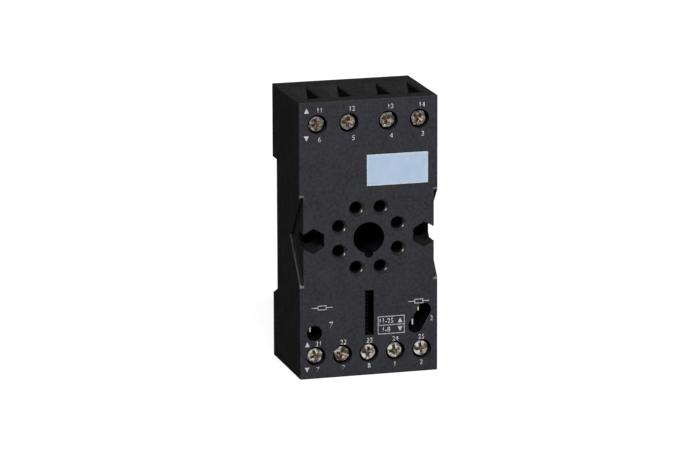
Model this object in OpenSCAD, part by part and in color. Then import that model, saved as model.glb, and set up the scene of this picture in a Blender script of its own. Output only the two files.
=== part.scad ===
// Plug-in relay socket: an octal contact ring in a moulded housing, with nine
// rising-cage screw terminals and a sprung latch for a 35 mm mounting rail.
// X runs across the socket, Z up its height, and Y from the front face to the back.
// The origin is the centre of the octal key hole, on the front face.

/* [Housing] */
// Width of the housing across its front
body_w = 38; // [38:0.5:42]
// Height of the housing
body_h = 75; // [75:0.5:84]
// Depth of the housing from the front face to the back
body_d = 27.4; // [27:0.1:30]
// Radius on the outer edges of the housing
edge_r = 0.25; // [0.15:0.05:0.6]
// Thickness of the long side walls around the base plate
side_wall = 1.7; // [1.2:0.1:1.7]
// Thickness of the end walls that hold the wire entries
end_wall = 3; // [2.6:0.1:3]
// Gap between the base plate and the walls around it
plate_gap = 0.1; // [0.05:0.05:0.2]
// Width of the ridges that click the base plate into the end walls
ridge_w = 5; // [4:0.1:6]
// Distance of the ridges from the sides of the housing
ridge_inset = 6.5; // [6:0.1:7]
// Height of the ridges
ridge_h = 0.45; // [0.3:0.05:0.5]
// Distance of the ridges from the back
ridge_depth = 2.4; // [2:0.1:2.8]

/* [Octal contact ring] */
// Diameter of the circle that the eight pin holes lie on
pin_circle_d = 17.45; // [17.3:0.05:18]
// Diameter of a pin hole
pin_hole_d = 3; // [2.8:0.1:3.2]
// Diameter of the countersunk mouth of a pin hole
pin_mouth_d = 4.25; // [3.8:0.05:4.6]
// Depth of the countersunk mouth
pin_mouth_depth = 1.5; // [1:0.1:1.8]
// Depth at which a pin hole opens into its contact chamber
pin_hole_depth = 6; // [5:0.1:6.4]
// Diameter of the key hole for the relay's spigot
key_hole_d = 8.5; // [8.3:0.1:9]
// Depth of the key hole
key_hole_depth = 14.6; // [13:0.1:16]
// Width of the keyway
keyway_w = 2.3; // [2:0.1:2.6]
// Distance from the axis to the bottom of the keyway
keyway_reach = 5.45; // [5.2:0.05:5.6]
// Wall around the key hole behind the contact strips
spigot_wall = 0.85; // [0.7:0.05:0.95]

/* [Panel fixing holes] */
// Distance of the fixing holes from the sides of the housing
fix_inset = 3.75; // [3.6:0.05:3.9]
// Diameter of a fixing hole
fix_hole_d = 3.2; // [3:0.1:3.6]
// Width across the flats of the nut pocket
nut_pocket_af = 6.05; // [5.8:0.05:6.2]
// Depth of the nut pocket
nut_pocket_depth = 5.2; // [3:0.1:6]

/* [Side grip notches] */
// How far a grip notch is cut into the side wall
notch_cut = 1.05; // [0.8:0.05:1.2]
// Height of a grip notch along the side
notch_h = 24.4; // [20:0.2:26]
// Depth of the notch at its middle, from the front face
notch_depth = 10; // [8:0.2:10.2]

/* [Terminals] */
// Distance of the outer lower terminals from the sides of the housing
low_inset = 4.4; // [4.4:0.05:4.6]
// Distance of the outer upper terminals from the sides of the housing
up_inset = 5.03; // [4.6:0.01:5.4]
// Spacing of the two upper terminals on each side
up_pitch = 8.59; // [8:0.01:9]
// Distance of the screw axes from the ends of the housing
row_inset = 6.1; // [6.1:0.1:6.6]
// Diameter of the well in front of a screw head
well_d = 5.3; // [5:0.1:5.4]
// Diameter of a screw head
head_d = 4.3; // [4.1:0.1:4.7]
// Height of a screw head
head_h = 1.6; // [1.4:0.1:1.8]
// Depth of a screw head below the front face
head_recess = 0.9; // [0.6:0.1:1.6]
// Diameter of the screw's thread
thread_d = 3; // [2.6:0.1:3]
// Width of an arm of the cross in a screw head
cross_w = 0.85; // [0.7:0.05:1]
// Length of the cross from tip to tip
cross_l = 3.2; // [2.8:0.1:3.5]
// Depth of the cross
cross_depth = 1; // [0.8:0.1:1.1]
// Width of the slot across a screw head
driver_slot_w = 0.6; // [0.5:0.05:0.8]
// Depth of that slot
driver_slot_depth = 0.45; // [0.3:0.05:0.6]
// Bevel on the rim of a screw head
head_bevel = 0.3; // [0.2:0.05:0.4]
// Bevel on the tip of a screw
tip_bevel = 0.5; // [0.3:0.05:0.7]
// Gap between a screw's tip and the strip that it bears on
tip_gap = 0.1; // [0.05:0.05:0.2]

/* [Clamp cages] */
// Width of a clamp cage
cage_w = 5; // [4.8:0.1:5]
// Length of a clamp cage along the wire
cage_l = 5.4; // [5:0.1:5.4]
// Thickness of a cage's sides
cage_side = 0.8; // [0.7:0.05:0.8]
// Thickness of a cage's threaded front
cage_front = 1.6; // [1.4:0.1:1.8]
// Thickness of a cage's back
cage_back = 1.2; // [1:0.1:1.4]
// Space for the wire between the strip and the open cage's back
wire_space = 4.3; // [4:0.1:4.6]
// Running gap between a cage and its chamber
cage_gap = 0.2; // [0.15:0.05:0.25]
// Radial gap between a screw and the cage's thread
thread_gap = 0.05; // [0.03:0.01:0.08]
// Gap between an open cage and the parts in front of and behind it
stop_gap = 0.3; // [0.2:0.05:0.4]
// Spacing of the grooves that hold the wire in a cage
groove_pitch = 1.5; // [1.2:0.1:1.8]
// Width of those grooves
groove_w = 0.4; // [0.3:0.05:0.5]
// Depth of those grooves
groove_depth = 0.25; // [0.15:0.05:0.35]

/* [Wire entries] */
// Width of a wire entry below its lead-in
entry_w = 4.6; // [4.4:0.1:4.7]
// Front edge of a wire entry, from the front face
entry_front = 4.4; // [4.2:0.1:5]
// Back edge of a wire entry, from the front face
entry_rear = 20.5; // [20:0.1:21]
// Size of the sloped lead-in at the back of an entry
lead_in = 1.6; // [1.2:0.1:1.8]
// Size of the bevel on the other three edges of an entry
entry_bevel = 0.4; // [0.2:0.05:0.5]

/* [Contact strips] */
// Depth of the strips' front face below the front of the housing
strip_y = 9.5; // [9.3:0.1:9.8]
// Thickness of the strips
strip_t = 0.9; // [0.8:0.05:1]
// Width of the strips
strip_w = 2.8; // [2.6:0.1:2.8]
// Gap around a strip in its channel
strip_gap = 0.15; // [0.1:0.05:0.2]
// Outer diameter of the sleeve that grips a relay pin
sleeve_d = 3.4; // [3.2:0.1:3.4]
// Bore of that sleeve
sleeve_bore_d = 2.4; // [2.3:0.05:2.5]
// Width of the two slits in the sleeve
sleeve_slit = 0.45; // [0.3:0.05:0.6]
// Gap around the sleeve and behind the pin hole
sleeve_gap = 0.3; // [0.2:0.05:0.35]
// Distance from the key hole's axis at which the first strips turn to their pins
bend_z = 12; // [12:0.1:13]
// Steps at which the other strips turn
bend_step = 2; // [1.6:0.1:2.2]
// Space between the cage chambers and the bridge that joins two terminals
bridge_gap = 0.6; // [0.5:0.05:0.8]
// Distance of a strip's end from the end of its cage
tongue_inset = 0.2; // [0.1:0.05:0.4]

/* [Plug-in module] */
// Middle of the module's guide slot, to the right of the key hole's axis
slot_x = 0.12; // [0:0.02:0.3]
// Width of the guide slot
slot_w = 2.45; // [2.2:0.05:2.8]
// Length of the guide slot
slot_l = 12.3; // [11:0.1:13]
// Distance of the slot's top from the key hole's axis
slot_top = 14.3; // [14:0.1:15]
// Depth of the guide slot
slot_depth = 8.6; // [7:0.1:8.6]
// Width of the ribbed ledge along the slot
ledge_w = 1; // [0.8:0.05:1.2]
// Depth of the ribbed ledge
ledge_depth = 0.9; // [0.7:0.05:1.1]
// Spacing of the ribs on the ledge
rib_pitch = 1; // [0.9:0.05:1.2]
// Diameter of the round module hole
module_hole_d = 4.16; // [4:0.02:4.3]
// Distance of the round hole outside the left screw below it
module_hole_out = 0.42; // [0.3:0.02:0.5]
// Height of the round hole above the lower screws
module_hole_up = 6.34; // [6.3:0.02:6.5]
// Width of the long module hole
module_long_w = 3.9; // [3.7:0.05:4]
// Distance of the long hole's top outside the right screw below it
long_top_out = 0.65; // [0.5:0.05:0.8]
// Height of the long hole's top end above the lower screws
long_top_up = 10.65; // [10.5:0.05:10.8]
// Distance of the long hole's lower end inside that screw
long_low_in = 1.77; // [1.7:0.01:1.8]
// Height of the long hole's lower end above the lower screws
long_low_up = 6.48; // [6.4:0.02:6.6]
// Thickness of a module contact blade
blade_t = 0.4; // [0.3:0.05:0.5]
// Width of a module contact blade
blade_w = 1.6; // [1.4:0.1:1.8]
// Depth of a blade's tip below the front face
blade_tip = 2.4; // [2:0.1:3]

/* [Label plate] */
// Width of the label plate
label_w = 16.8; // [14:0.1:17]
// Height of the label plate
label_h = 8.4; // [7:0.1:9]
// Distance of the label plate from the right side of the housing
label_side = 2.7; // [2.4:0.1:3.4]
// Centre of the label plate above the key hole's axis
label_z = 18.25; // [17.5:0.05:20]
// Thickness of the label plate
label_t = 0.8; // [0.7:0.05:1]
// How far the label plate stands proud of the front face
label_proud = 0.1; // [0:0.05:0.15]
// Gap around the label plate
label_gap = 0.08; // [0.05:0.01:0.12]

/* [Rail mounting] */
// Width of the mounting rail
rail_w = 35; // [35:0.1:35.2]
// Play of the rail above its upper edge
rail_play = 0.1; // [0.05:0.05:0.2]
// Space below the rail, under the latch's nose
rail_space = 0.5; // [0.4:0.05:0.6]
// Drop of the slope below the rail, from its seat to the back face
recess_slope = 2; // [1.5:0.1:2.5]
// Depth of the rail's recess in the back
recess_depth = 4.4; // [4.2:0.1:4.6]
// Space for the rail's flange behind a hook
flange_space = 1.3; // [1.2:0.05:1.4]
// How far a hook reaches over the rail's flange
hook_reach = 1.3; // [1:0.1:1.6]
// Width of a fixed hook
hook_w = 6; // [5:0.1:7]
// Thickness of a fixed hook at its tip
hook_t = 1.2; // [1:0.1:1.4]
// Distance of the fixed hooks from the middle
hook_x = 11.5; // [10:0.1:12]
// Number of hollows in the back above the rail
hollow_count = 4; // [2:1:5]
// Depth of the hollows in the back
hollow_depth = 3.2; // [2:0.1:3.6]
// Wall around the hollows
hollow_wall = 1.8; // [1.4:0.1:2]

/* [Latch] */
// Width of the latch's front part, between its guides
latch_w = 10.8; // [10:0.1:11]
// Width of a guide flange on each side of the latch
flange_w = 1; // [0.8:0.1:1.2]
// Thickness of a guide flange
flange_t = 1; // [0.9:0.05:1.1]
// Thickness of the latch
latch_t = 2.6; // [2.5:0.05:2.7]
// Running gap around the latch
latch_gap = 0.2; // [0.15:0.05:0.2]
// How far the latch can be pulled down
latch_travel = 3; // [2.6:0.1:3.2]
// Length of the spring with the latch pulled down
spring_closed = 4.4; // [4.2:0.1:4.6]
// Height of the latch's lower end above the end of the housing
latch_lift = 0.6; // [0.4:0.1:0.8]
// Width of the window that holds the spring
window_w = 4.4; // [4.2:0.1:5]
// Distance of that window below the rail's recess
latch_head = 4; // [3.8:0.1:4.2]
// Thickness of the latch's nose at its tip
nose_tip = 0.8; // [0.6:0.1:1]
// Outer diameter of the spring
spring_d = 2.2; // [2:0.05:2.3]
// Diameter of the spring's wire
spring_wire = 0.35; // [0.3:0.05:0.4]
// Width of the screwdriver slot in the latch
pry_slot_w = 4.4; // [4:0.1:5]
// Height of the screwdriver slot
pry_slot_h = 1.4; // [1.2:0.1:1.6]
// Number of turns of the spring
spring_turns = 6; // [5:1:7]
// Thickness of the post that the spring stands on
post_t = 1.5; // [1.2:0.1:1.8]
// Length of the pegs that hold the spring's ends
peg_l = 1.2; // [0.8:0.1:1.4]
// Play of the spring on its pegs
peg_play = 0.3; // [0.2:0.05:0.4]
// Spacing of the grip grooves on the latch
grip_pitch = 0.9; // [0.8:0.05:1.1]
// Width of those grooves
grip_w = 0.4; // [0.3:0.05:0.5]
// Depth of those grooves
grip_depth = 0.35; // [0.2:0.05:0.5]

/* [Hidden] */
$fn = 48;
eps = 0.01;

// Terminals 1 to 4 stand in the upper row and 5 to 9 in the lower one, from the left.
row_z = body_h / 2 - row_inset;
low_pitch = (body_w / 2 - low_inset) / 2;
up_outer_x = body_w / 2 - up_inset;
up_inner_x = up_outer_x - up_pitch;
TERMINAL_X = [
    -up_outer_x, -up_inner_x, up_inner_x, up_outer_x,
    -2 * low_pitch, -low_pitch, 0, low_pitch, 2 * low_pitch
];
TERMINAL_SIDE = [1, 1, 1, 1, -1, -1, -1, -1, -1];
// Angle at which the slot of each screw happens to stand
SCREW_ANGLE = [-17, 99, 118, 127, -19, 17, 97, 78, 80];

// Depths from the front face
strip_back = strip_y + strip_t;
head_seat = head_recess + head_h;
chamber_front = head_seat + stop_gap;
cage_y = strip_y - stop_gap - cage_front;
cage_rear = strip_back + wire_space + cage_back;
chamber_rear = cage_rear + stop_gap;

// Distance between the two panel fixing holes
fix_spacing = body_w - 2 * fix_inset;

// Half sizes of the space inside the walls
inner_x = body_w / 2 - side_wall;
inner_z = body_h / 2 - end_wall;
chamber_w = cage_w + 2 * cage_gap;
chamber_l = cage_l + 2 * cage_gap;

// Rail recess
rail_seat = body_d - recess_depth;
recess_top = rail_w / 2 + rail_play;
recess_low = -rail_w / 2 - rail_space;
hook_y = rail_seat + flange_space;

// Module holes, and the blades that stand at the left of each
round_hole = [-2 * low_pitch - module_hole_out, -row_z + module_hole_up];
long_top = [2 * low_pitch + long_top_out, -row_z + long_top_up];
long_low = [2 * low_pitch - long_low_in, -row_z + long_low_up];
blade_7 = round_hole + [-0.58, 0.66];
blade_2a = long_top + [-0.95, 0.15];
blade_2b = long_low + [-0.08, 0.52];

label_x = body_w / 2 - label_side - label_w / 2;

// Latch, in depth and height
latch_y = rail_seat + flange_space;
latch_low = -body_h / 2 + latch_lift;
nose_z = recess_low + rail_space + hook_reach;
window_top = recess_low - latch_head;
spring_l = spring_closed + latch_travel;
post_top = window_top - spring_l;
window_low = post_top - post_t - stop_gap;
spring_y = latch_y + latch_t / 2;
peg_d = spring_d - 2 * spring_wire - peg_play;

// Pin number n, counted from the right of the keyway, seen from the front
function pin_angle(n) = -112.5 + 45 * n;
function pin_at(n) =
    pin_circle_d / 2 * [cos(pin_angle(n)), sin(pin_angle(n))];
function terminal_at(t) = [TERMINAL_X[t - 1], TERMINAL_SIDE[t - 1] * row_z];
// Where the strip of a terminal ends, just inside the end of the cage
function tongue_end(t) = terminal_at(t) + [0, TERMINAL_SIDE[t - 1] * (cage_l / 2 - tongue_inset)];
// Where the strip of a terminal turns towards its pin
function bend_at(t, z) = [TERMINAL_X[t - 1], TERMINAL_SIDE[t - 1] * z];

// The terminal that each pin serves; pin 7 serves two
PIN_TERMINAL = [8, 9, 4, 3, 2, 1, 5, 7];
PIN_BEND = [for (steps = [2, 1, 0, 1, 1, 0, 1, 1]) bend_z + steps * bend_step];
bridge_z = -row_z + chamber_l / 2 + strip_gap + strip_w / 2 + bridge_gap;

// ---- Shapes in the plane of the front face, set at a depth ----

// Extrudes a front-view outline from depth y0 to depth y1
module from_to(y0, y1) {
    translate([0, y1, 0])
        rotate([90, 0, 0])
            linear_extrude(height = y1 - y0)
                children();
}

// Turns an outline drawn in depth and height into a bar across the socket
module across(w) {
    rotate([90, 0, 90])
        translate([0, 0, -w / 2])
            linear_extrude(height = w)
                children();
}

module rounded_rect(w, h, r) {
    square([w - 2 * r, h], center = true);
    square([w, h - 2 * r], center = true);
    for (sx = [-1, 1], sz = [-1, 1])
        translate([sx * (w / 2 - r), sz * (h / 2 - r)])
            circle(r = r);
}

module cyl_y(d, y0, y1) {
    from_to(y0, y1)
        circle(d = d);
}

// A run of strip through a list of points, with round corners and ends. The rounds are
// a hair wider than the run, so that they cut its sides cleanly and don't just touch them.
module run(points, w) {
    for (i = [0 : len(points) - 2]) {
        step = points[i + 1] - points[i];
        translate(points[i])
            rotate(atan2(step[1], step[0]))
                translate([0, -w / 2])
                    square([norm(step), w]);
    }
    for (p = points)
        translate(p)
            circle(d = w + 2 * eps);
}

// ---- Housing ----

module recess_outline() {
    rear = body_d + 1;
    slope = recess_slope * (rear - rail_seat) / (body_d - rail_seat);
    polygon([
        [rail_seat, recess_top],
        [rail_seat, recess_low],
        [rear, recess_low - slope],
        [rear, recess_top]
    ]);
}

module outer_body() {
    intersection() {
        from_to(0, body_d)
            rounded_rect(body_w, body_h, edge_r);
        translate([0, body_d / 2, -body_h / 2])
            linear_extrude(height = body_h)
                rounded_rect(body_w, body_d, edge_r);
        across(body_w)
            difference() {
                translate([body_d / 2, 0])
                    rounded_rect(body_d, body_h, edge_r);
                recess_outline();
            }
    }
}

module key_hole() {
    cyl_y(key_hole_d, -eps, key_hole_depth + eps);
    from_to(-eps, key_hole_depth + eps)
        run([[0, 0], [0, -keyway_reach + keyway_w / 2]], keyway_w);
}

module pin_hole() {
    cyl_y(pin_hole_d, -eps, pin_hole_depth + eps);
    rotate([-90, 0, 0])
        cylinder(d1 = pin_mouth_d, d2 = pin_hole_d, h = pin_mouth_depth);
    cyl_y(sleeve_d + 2 * sleeve_gap, pin_hole_depth, strip_back + eps);
}

module nut_pocket() {
    from_to(-eps, nut_pocket_depth)
        rotate(90)
            circle(d = nut_pocket_af / cos(30), $fn = 6);
    cyl_y(fix_hole_d, 0, body_d);
}

module grip_notches() {
    for (side = [-1, 1])
        translate([side * (body_w / 2 + 1 - notch_cut), 0, 0])
            across(2)
                polygon([
                    [-eps, notch_h / 2],
                    [notch_depth, 0],
                    [-eps, -notch_h / 2]
                ]);
}

// Outline of a wire entry in depth and height, with the end of the housing at height 0
module entry_outline() {
    throat_front = strip_back - 0.6;
    throat_rear = chamber_rear + lead_in;
    polygon([
        [entry_front - 1, 1],
        [entry_front, 0],
        [entry_front + entry_bevel, -entry_bevel],
        [entry_front + entry_bevel, -lead_in],
        [throat_front, -end_wall],
        [throat_front, -end_wall - eps],
        [throat_rear, -end_wall - eps],
        [throat_rear, -end_wall],
        [entry_rear - lead_in, -lead_in],
        [entry_rear, 0],
        [entry_rear + 1, 1]
    ]);
}

module wire_entry() {
    intersection() {
        across(2 * entry_w)
            entry_outline();
        from_to(0, body_d)
            polygon([
                [-entry_w / 2, -end_wall - 1],
                [-entry_w / 2, -entry_bevel],
                [-entry_w / 2 - entry_bevel - 1, 1],
                [entry_w / 2 + entry_bevel + 1, 1],
                [entry_w / 2, -entry_bevel],
                [entry_w / 2, -end_wall - 1]
            ]);
    }
}

// Well, cage chamber and wire entry of one terminal
module terminal_space(t) {
    side = TERMINAL_SIDE[t - 1];
    translate([TERMINAL_X[t - 1], 0, side * row_z]) {
        cyl_y(well_d, -eps, chamber_front + eps);
        from_to(chamber_front, strip_back + eps)
            square([chamber_w, chamber_l], center = true);
    }
    translate([TERMINAL_X[t - 1], 0, side * body_h / 2])
        on_side(side)
            wire_entry();
}

module on_side(side) {
    if (side > 0)
        children();
    else
        mirror([0, 0, 1])
            children();
}

module strip_channels() {
    from_to(strip_y, strip_back + eps)
        for (n = [1 : 8])
            strip_outline(n, strip_w + 2 * strip_gap);
}

// Slot with a ribbed ledge along its left side
module module_slot() {
    middle = -slot_top - slot_l / 2;
    translate([slot_x, 0, middle]) {
        from_to(-eps, slot_depth)
            translate([ledge_w / 2, 0])
                square([slot_w - ledge_w, slot_l], center = true);
        difference() {
            from_to(-eps, ledge_depth)
                square([slot_w, slot_l], center = true);
            for (z = [-slot_l / 2 + rib_pitch : rib_pitch : slot_l / 2 - rib_pitch / 2])
                translate([(ledge_w - slot_w) / 2, 0, z])
                    from_to(ledge_depth / 2, ledge_depth)
                        square([ledge_w, rib_pitch / 2.5], center = true);
        }
    }
}

module module_holes() {
    from_to(-eps, strip_y + eps) {
        translate(round_hole)
            circle(d = module_hole_d);
        run([long_top, long_low], module_long_w);
    }
}

module label_outline(gap) {
    translate([label_x, label_z])
        square([label_w + 2 * gap, label_h + 2 * gap], center = true);
}

// Ridges on the base plate's ends that click into the housing's end walls
module snap_ridges(extra) {
    ridge_x = body_w / 2 - ridge_inset;
    ridge_y = body_d - ridge_depth;
    root = inner_z - plate_gap;
    front = ridge_y - 2 * ridge_h - extra;
    rear = ridge_y + ridge_h + extra;
    for (side = [-1, 1], x = [-ridge_x, ridge_x])
        translate([x, 0, 0])
            across(ridge_w + 2 * extra)
                flat_on_side(side)
                    polygon([
                        [front, root - ridge_h],
                        [front, root],
                        [ridge_y, root + ridge_h + extra],
                        [rear, root],
                        [rear, root - ridge_h]
                    ]);
}

module flat_on_side(side) {
    if (side > 0)
        children();
    else
        mirror([0, 1])
            children();
}

module housing() {
    color([0.2, 0.2, 0.22])
        difference() {
            union() {
                difference() {
                    outer_body();
                    from_to(strip_back, body_d + 1)
                        square([2 * inner_x, 2 * inner_z], center = true);
                }
                cyl_y(2 * (keyway_reach + spigot_wall), strip_back - eps, key_hole_depth);
            }
            key_hole();
            for (n = [1 : 8])
                translate([pin_at(n)[0], 0, pin_at(n)[1]])
                    pin_hole();
            for (side = [-1, 1])
                translate([side * fix_spacing / 2, 0, 0])
                    nut_pocket();
            grip_notches();
            for (t = [1 : 9])
                terminal_space(t);
            strip_channels();
            module_slot();
            module_holes();
            from_to(-eps, label_t - label_proud)
                label_outline(label_gap);
            snap_ridges(plate_gap);
            latch_channel(body_h / 2 + 1);
        }
}

// ---- Base plate ----

// T-shaped channel of the latch, from the rail recess down to a given depth below the axis
module latch_channel(low) {
    wide = latch_w + 2 * latch_gap;
    narrow = wide - 2 * flange_w;
    top = recess_low + 1;
    height = top + low;
    translate([0, 0, -low]) {
        translate([-wide / 2, latch_y - latch_gap, 0])
            cube([wide, flange_t + 2 * latch_gap, height]);
        translate([-narrow / 2, latch_y - latch_gap, 0])
            cube([narrow, body_d + 1 - latch_y + latch_gap, height]);
    }
}

// Hook over the upper edge of the rail
module fixed_hook() {
    across(hook_w)
        polygon([
            [hook_y, recess_top + 0.5],
            [hook_y, recess_top - hook_reach - rail_play],
            [hook_y + hook_t, recess_top - hook_reach - rail_play],
            [body_d, recess_top - 0.2],
            [body_d, recess_top + 0.5]
        ]);
}

// Hollow moulded into the back to keep the walls even, between two corners
module core_out(x0, x1, z0, z1) {
    translate([(x0 + x1) / 2, 0, (z0 + z1) / 2])
        from_to(body_d - hollow_depth, body_d + 1)
            rounded_rect(x1 - x0, z1 - z0, edge_r);
}

module back_hollows() {
    edge_x = inner_x - plate_gap - hollow_wall;
    edge_z = inner_z - plate_gap - hollow_wall;
    step = (2 * edge_x + hollow_wall) / hollow_count;
    for (i = [0 : hollow_count - 1])
        core_out(
            -edge_x + i * step,
            -edge_x + (i + 1) * step - hollow_wall,
            recess_top + hollow_wall,
            edge_z
        );
    guide_x = latch_w / 2 + latch_gap + hollow_wall;
    low_top = recess_low - recess_slope - hollow_wall;
    core_out(-edge_x, -guide_x, -edge_z, low_top);
    core_out(guide_x, edge_x, -edge_z, low_top);
}

// Space behind the strips for one cage, open towards the wire entry
module cage_pocket(t) {
    side = TERMINAL_SIDE[t - 1];
    inside = row_z - chamber_l / 2;
    translate([TERMINAL_X[t - 1], 0, 0])
        across(chamber_w)
            flat_on_side(side)
                polygon([
                    [strip_back - eps, inside],
                    [chamber_rear, inside],
                    [chamber_rear, inner_z - plate_gap - lead_in],
                    [chamber_rear + lead_in, inner_z - plate_gap],
                    [chamber_rear + lead_in, inner_z + 1],
                    [strip_back - eps, inner_z + 1]
                ]);
}

module spring_post() {
    translate([0, latch_y - latch_gap - eps, post_top - post_t])
        translate([-window_w / 2 + stop_gap, 0, 0])
            cube([window_w - 2 * stop_gap, latch_t, post_t]);
    translate([0, spring_y, post_top - eps])
        cylinder(d = peg_d, h = peg_l);
}

module base_plate() {
    color([0.13, 0.13, 0.14]) {
        difference() {
            union() {
                difference() {
                    from_to(strip_back, body_d)
                        square([2 * (inner_x - plate_gap), 2 * (inner_z - plate_gap)], center = true);
                    across(body_w)
                        recess_outline();
                }
                snap_ridges(0);
                for (side = [-1, 1])
                    translate([side * hook_x, 0, 0])
                        fixed_hook();
            }
            cyl_y(2 * (keyway_reach + spigot_wall + plate_gap), strip_back - eps, key_hole_depth + plate_gap);
            for (side = [-1, 1])
                translate([side * fix_spacing / 2, 0, 0])
                    cyl_y(fix_hole_d, strip_back - eps, body_d);
            for (t = [1 : 9])
                cage_pocket(t);
            back_hollows();
            latch_channel(body_h / 2 + 1);
        }
        spring_post();
    }
}

// ---- Label, latch and spring ----

module label_plate() {
    color([0.7, 0.78, 0.88])
        from_to(-label_proud, label_t - label_proud)
            label_outline(0);
}

module din_latch() {
    body_top = recess_low - 0.4;
    nose_w = latch_w - 2 * flange_w;
    color([0.1, 0.1, 0.1]) {
        difference() {
            union() {
                translate([-latch_w / 2, latch_y, latch_low])
                    cube([latch_w, flange_t, body_top - latch_low]);
                across(nose_w)
                    polygon([
                        [latch_y, latch_low],
                        [latch_y, nose_z],
                        [latch_y + nose_tip, nose_z],
                        [latch_y + latch_t, nose_z - latch_t + nose_tip],
                        [latch_y + latch_t, latch_low]
                    ]);
            }
            translate([-window_w / 2, latch_y - 1, window_low])
                cube([window_w, latch_t + 2, window_top - window_low]);
            translate([-pry_slot_w / 2, latch_y - 1, latch_low + pry_slot_h])
                cube([pry_slot_w, latch_t + 2, pry_slot_h]);
            for (z = [window_low - grip_pitch : -grip_pitch : latch_low + 2.4 * pry_slot_h])
                translate([-nose_w, latch_y + latch_t - grip_depth, z])
                    cube([2 * nose_w, 1, grip_w]);
        }
        translate([0, spring_y, window_top - peg_l])
            cylinder(d = peg_d, h = peg_l + eps);
    }
}

// Points of a ring of the wire, where t is the share of the spring's length
function ring(t, sides) =
    let (a = 360 * spring_turns * t)
    let (r = (spring_d - spring_wire) / 2)
    let (z = post_top + spring_wire / 2 + t * (spring_l - spring_wire))
    [
        for (k = [0 : sides - 1])
            let (b = 360 * k / sides)
            let (out = r + spring_wire / 2 * cos(b))
            [out * cos(a), spring_y + out * sin(a), z + spring_wire / 2 * sin(b)]
    ];

module latch_spring() {
    sides = 6;
    rings = 12 * spring_turns;
    points = [for (i = [0 : rings]) each ring(i / rings, sides)];
    walls = [
        for (i = [0 : rings - 1], k = [0 : sides - 1])
            let (next = (k + 1) % sides)
            [i * sides + k, (i + 1) * sides + k, (i + 1) * sides + next, i * sides + next]
    ];
    first = [for (k = [0 : sides - 1]) k];
    last = [for (k = [sides - 1 : -1 : 0]) rings * sides + k];
    color([0.75, 0.75, 0.76])
        polyhedron(points = points, faces = concat([first, last], walls));
}

// ---- Contact strips ----

module strip_outline(n, w) {
    t = PIN_TERMINAL[n - 1];
    run([pin_at(n), bend_at(t, PIN_BEND[n - 1]), tongue_end(t)], w);
    if (n == 7)
        run([[TERMINAL_X[4], bridge_z], [TERMINAL_X[5], bridge_z], tongue_end(6)], w);
    if (n == 2)
        run([blade_2b + [0.5, 0], [TERMINAL_X[8], blade_2b[1]]], w);
}

module blade(at) {
    translate([at[0] - blade_t / 2, blade_tip, at[1] - blade_w / 2])
        cube([blade_t, strip_y - blade_tip + eps, blade_w]);
}

module contact_strip(n) {
    p = pin_at(n);
    sleeve_front = pin_hole_depth + sleeve_gap;
    color([0.8, 0.66, 0.38])
        difference() {
            union() {
                from_to(strip_y, strip_back)
                    strip_outline(n, strip_w);
                translate([p[0], 0, p[1]])
                    cyl_y(sleeve_d, sleeve_front, strip_back);
                if (n == 7)
                    blade(blade_7);
                if (n == 2) {
                    blade(blade_2a);
                    blade(blade_2b);
                }
            }
            translate([p[0], 0, p[1]]) {
                cyl_y(sleeve_bore_d, sleeve_front - 1, strip_back + 1);
                rotate([0, -pin_angle(n), 0])
                    translate([-sleeve_d, sleeve_front - 1, -sleeve_slit / 2])
                        cube([2 * sleeve_d, strip_y - sleeve_front, sleeve_slit]);
            }
        }
}

// ---- Terminal screws and clamp cages ----

module terminal_screw(t) {
    tip = strip_y - tip_gap;
    p = terminal_at(t);
    color([0.75, 0.74, 0.72])
        translate([p[0], 0, p[1]])
            rotate([0, SCREW_ANGLE[t - 1], 0])
                difference() {
                    rotate([-90, 0, 0])
                        rotate_extrude()
                            polygon([
                                [0, head_recess],
                                [head_d / 2 - head_bevel, head_recess],
                                [head_d / 2, head_recess + head_bevel],
                                [head_d / 2, head_seat],
                                [thread_d / 2, head_seat],
                                [thread_d / 2, tip - tip_bevel],
                                [thread_d / 2 - tip_bevel, tip],
                                [0, tip]
                            ]);
                    for (a = [0, 90])
                        rotate([0, a, 0])
                            translate([-cross_l / 2, head_recess - eps, -cross_w / 2])
                                cube([cross_l, cross_depth, cross_w]);
                    translate([-head_d, head_recess - eps, -driver_slot_w / 2])
                        cube([2 * head_d, driver_slot_depth, driver_slot_w]);
                }
}

module clamp_cage(t) {
    p = terminal_at(t);
    window_y = cage_y + cage_front;
    window_back = cage_rear - cage_back;
    color([0.78, 0.76, 0.7])
        translate([p[0], 0, p[1]])
            difference() {
                translate([-cage_w / 2, cage_y, -cage_l / 2])
                    cube([cage_w, cage_rear - cage_y, cage_l]);
                translate([-cage_w / 2 + cage_side, window_y, -cage_l])
                    cube([cage_w - 2 * cage_side, window_back - window_y, 2 * cage_l]);
                cyl_y(thread_d + 2 * thread_gap, cage_y - 1, window_y + eps);
                for (z = [-groove_pitch, 0, groove_pitch])
                    translate([-cage_w / 2 + cage_side, window_back - eps, z - groove_w / 2])
                        cube([cage_w - 2 * cage_side, groove_depth, groove_w]);
            }
}

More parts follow.
